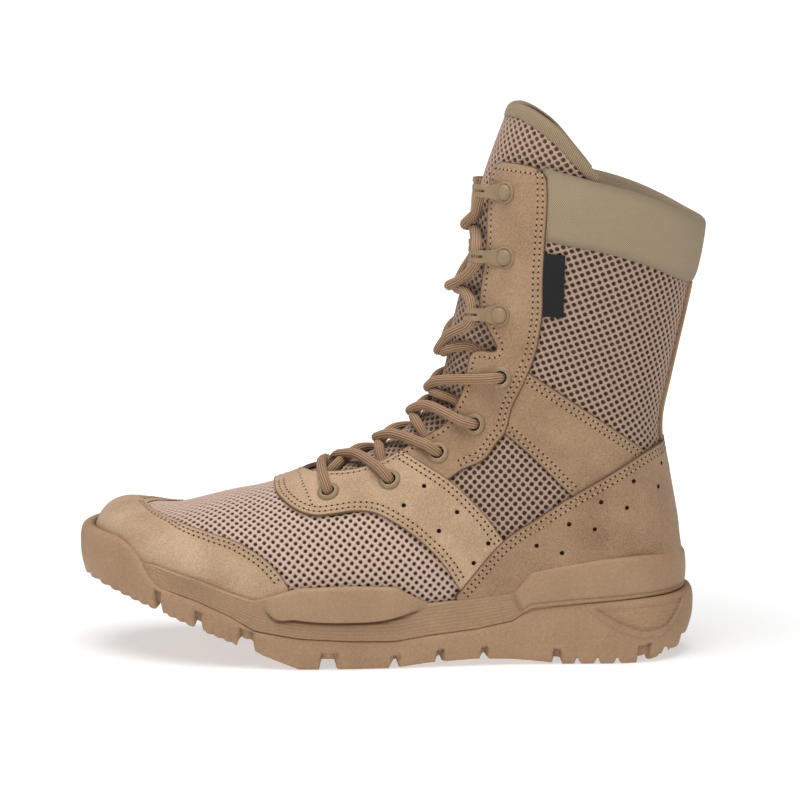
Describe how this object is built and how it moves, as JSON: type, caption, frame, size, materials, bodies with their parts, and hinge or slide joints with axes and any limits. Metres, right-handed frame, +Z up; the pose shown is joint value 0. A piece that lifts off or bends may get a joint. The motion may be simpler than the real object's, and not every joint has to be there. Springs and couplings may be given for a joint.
{
  "type": "combat boot",
  "caption": "Desert combat boot: hollow knit and suede upper with padded collar, gusset tongue and front lacing on a lugged rubber sole with toe bumper and heel clip.",
  "frame": {"origin": "on the ground, under the middle of the boot's box", "axes": "+X from toe to heel, -Y the outer (lateral) side, +Z up"},
  "size_m": [0.3037, 0.1082, 0.2696],
  "materials": {
    "outsole": "matt tan rubber",
    "midsole": "matt tan moulded foam rubber",
    "insole": "brown cloth top",
    "knit": "open spacer knit, pinkish tan",
    "suede": "tan suede with short nap",
    "twill": "khaki twill over foam",
    "lace": "round ribbed tan lace",
    "metal": "khaki painted brass, satin",
    "tab": "plain black woven tab"
  },
  "bodies": {
    "root": {"outsole": "outsole", "midsole": "midsole", "insole": "insole", "upper": "knit", "tongue": "knit", "toe_cap": "suede", "saddle": "suede", "counter": "suede", "backstay": "suede", "eyestay_lateral": "suede", "eyestay_medial": "suede", "strap_lateral": "suede", "strap_medial": "suede", "cuff": "twill", "side_tab": "tab", "eyelet_lateral_1": "metal", "eyelet_lateral_2": "metal", "eyelet_lateral_3": "metal", "eyelet_lateral_4": "metal", "eyelet_lateral_5": "metal", "eyelet_medial_1": "metal", "eyelet_medial_2": "metal", "eyelet_medial_3": "metal", "eyelet_medial_4": "metal", "eyelet_medial_5": "metal", "hook_lateral_1": "metal", "hook_lateral_2": "metal", "hook_lateral_3": "metal", "hook_medial_1": "metal", "hook_medial_2": "metal", "hook_medial_3": "metal", "lace_1": "lace", "lace_2": "lace", "lace_3": "lace", "lace_4": "lace", "lace_5": "lace", "lace_6": "lace", "lace_7": "lace", "lace_8": "lace"}
  },
  "joints": []
}
